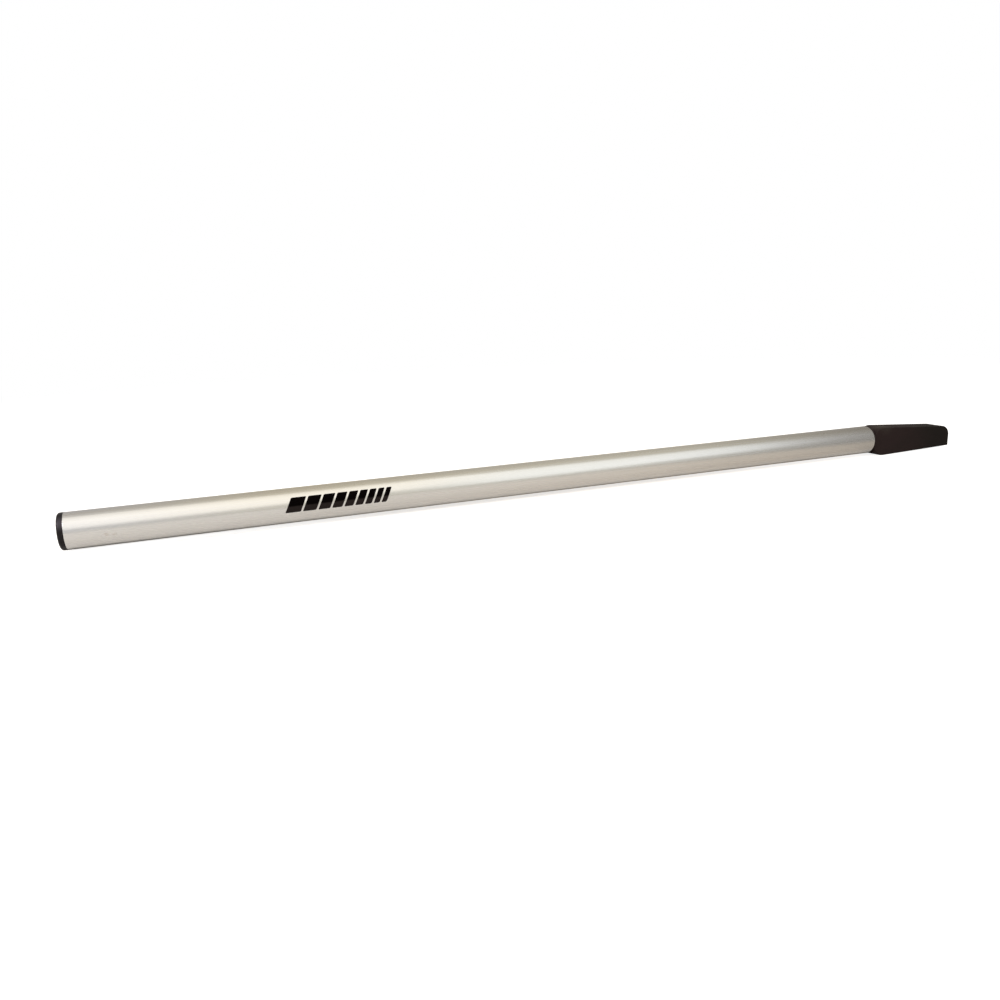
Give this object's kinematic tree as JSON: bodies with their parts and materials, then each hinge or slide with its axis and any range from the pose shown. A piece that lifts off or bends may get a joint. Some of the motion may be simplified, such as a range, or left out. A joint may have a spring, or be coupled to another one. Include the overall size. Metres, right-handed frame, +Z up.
{
  "type": "boat tiller",
  "caption": "Dinghy tiller: a straight round aluminium tube with a black push-in cap at the hand end and a black moulded plug whose tapered block slides into the rudder head.",
  "frame": {"origin": "on the ground under the middle of the whole length, as the tiller lies on the heel of its block", "axes": "+X along the tube from the end cap to the rudder head block, +Z up through the block's top line, +Y across the block's flat sides"},
  "size_m": [0.9718, 0.032, 0.0345],
  "materials": {
    "anodised_tube": "satin anodised, drawn lengthwise",
    "cap_plastic": "moulded, semi-matte",
    "plug_plastic": "moulded, matte"
  },
  "bodies": {
    "root": {"tiller_tube": "anodised_tube", "end_cap": "cap_plastic", "rudder_head_plug": "plug_plastic"}
  },
  "joints": []
}
